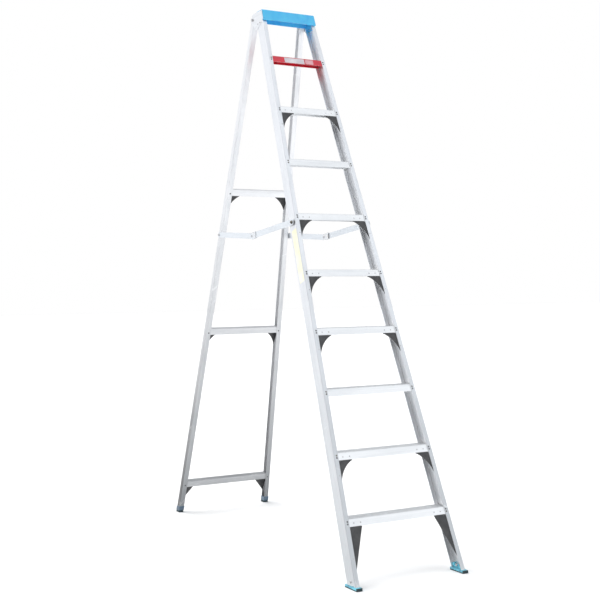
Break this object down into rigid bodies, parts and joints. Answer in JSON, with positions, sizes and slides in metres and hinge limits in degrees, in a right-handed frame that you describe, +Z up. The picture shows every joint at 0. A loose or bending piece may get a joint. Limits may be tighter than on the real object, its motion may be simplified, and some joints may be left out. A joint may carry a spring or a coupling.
{
  "type": "step ladder",
  "caption": "Free-standing aluminium step ladder with a treaded front frame, railed rear frame, folding spreaders and a moulded top cap.",
  "frame": {"origin": "on the floor, midway between the front and the rear feet and between the sides", "axes": "+X to the right as a climber faces the treads, +Y from the climbing side to the rear, +Z up"},
  "size_m": [0.6466, 2.196, 2.988],
  "materials": {
    "stile_alu": "extruded mill finish",
    "tread_alu": "extruded mill finish",
    "link_alu": "satin",
    "plate_alu": "satin",
    "red_paint": "gloss",
    "cap_plastic": "semi gloss",
    "brace_paint": "matte",
    "plated_steel": "zinc plated",
    "dark_steel": "matte",
    "boot_plastic": "satin",
    "rear_boot_plastic": "satin",
    "pad_rubber": "matte",
    "sticker_film": "sun-faded vinyl"
  },
  "bodies": {
    "front_frame": {"front_stile_left": "stile_alu", "front_stile_right": "stile_alu", "tread_1": "tread_alu", "tread_2": "tread_alu", "tread_3": "tread_alu", "tread_4": "tread_alu", "tread_5": "tread_alu", "tread_6": "tread_alu", "tread_7": "tread_alu", "tread_8": "tread_alu", "tread_9": "red_paint", "top_cap": "cap_plastic", "hinge_plate_left": "plate_alu", "hinge_plate_right": "plate_alu", "hinge_bolts": "plated_steel", "brace_1_left": "brace_paint", "brace_1_right": "brace_paint", "brace_2_left": "brace_paint", "brace_2_right": "brace_paint", "brace_4_left": "brace_paint", "brace_4_right": "brace_paint", "brace_5_left": "brace_paint", "brace_5_right": "brace_paint", "brace_6_left": "brace_paint", "brace_6_right": "brace_paint", "brace_8_left": "brace_paint", "brace_8_right": "brace_paint", "tread_rivets": "dark_steel", "brace_rivets": "plated_steel", "front_boot_left": "boot_plastic", "front_boot_right": "boot_plastic", "front_pad_left": "pad_rubber", "front_pad_right": "pad_rubber", "boot_bolts": "plated_steel", "front_pivot_bolts": "dark_steel"},
    "rear_frame": {"rear_stile_left": "stile_alu", "rear_stile_right": "stile_alu", "rear_rail_1": "tread_alu", "rear_rail_2": "tread_alu", "rear_rail_3": "tread_alu", "rear_brace_1_left": "brace_paint", "rear_brace_1_right": "brace_paint", "rear_brace_2_left": "brace_paint", "rear_brace_2_right": "brace_paint", "rear_brace_3_left": "brace_paint", "rear_brace_3_right": "brace_paint", "rear_rivets": "dark_steel", "rear_boot_left": "rear_boot_plastic", "rear_boot_right": "rear_boot_plastic", "rear_pad_left": "pad_rubber", "rear_pad_right": "pad_rubber", "rear_pivot_bolts": "plated_steel"},
    "front_link_left": {"front_link_left": "link_alu"},
    "front_link_right": {"front_link_right": "link_alu"},
    "rear_link_left": {"rear_link_left": "link_alu", "link_clip_left": "plated_steel", "link_rivets_left": "plated_steel"},
    "rear_link_right": {"rear_link_right": "link_alu", "link_clip_right": "plated_steel", "link_rivets_right": "plated_steel"}
  },
  "joints": [
    {"name": "rear_fold", "type": "hinge", "parent": "front_frame", "child": "rear_frame", "pos_m": [0, 0.21, 2.951], "axis": [-1, 0, 0], "range_deg": [0, 37.5]},
    {"name": "front_link_left_swing", "type": "hinge", "parent": "front_frame", "child": "front_link_left", "pos_m": [-0.237, -0.355, 1.762], "axis": [1, 0, 0], "range_deg": [0, 81.9]},
    {"name": "knuckle_left", "type": "hinge", "parent": "front_link_left", "child": "rear_link_left", "pos_m": [-0.235, 0.118, 1.712], "axis": [-1, 0, 0], "range_deg": [0, 176.8]},
    {"name": "front_link_right_swing", "type": "hinge", "parent": "front_frame", "child": "front_link_right", "pos_m": [0.237, -0.355, 1.762], "axis": [1, 0, 0], "range_deg": [0, 81.9]},
    {"name": "knuckle_right", "type": "hinge", "parent": "front_link_right", "child": "rear_link_right", "pos_m": [0.235, 0.118, 1.712], "axis": [-1, 0, 0], "range_deg": [0, 176.8]}
  ],
  "couplings": [
    {"joint": "front_link_left_swing", "follows": "rear_fold", "ratio": 2.1792},
    {"joint": "knuckle_left", "follows": "rear_fold", "ratio": 4.7113},
    {"joint": "front_link_right_swing", "follows": "rear_fold", "ratio": 2.1792},
    {"joint": "knuckle_right", "follows": "rear_fold", "ratio": 4.7113}
  ]
}
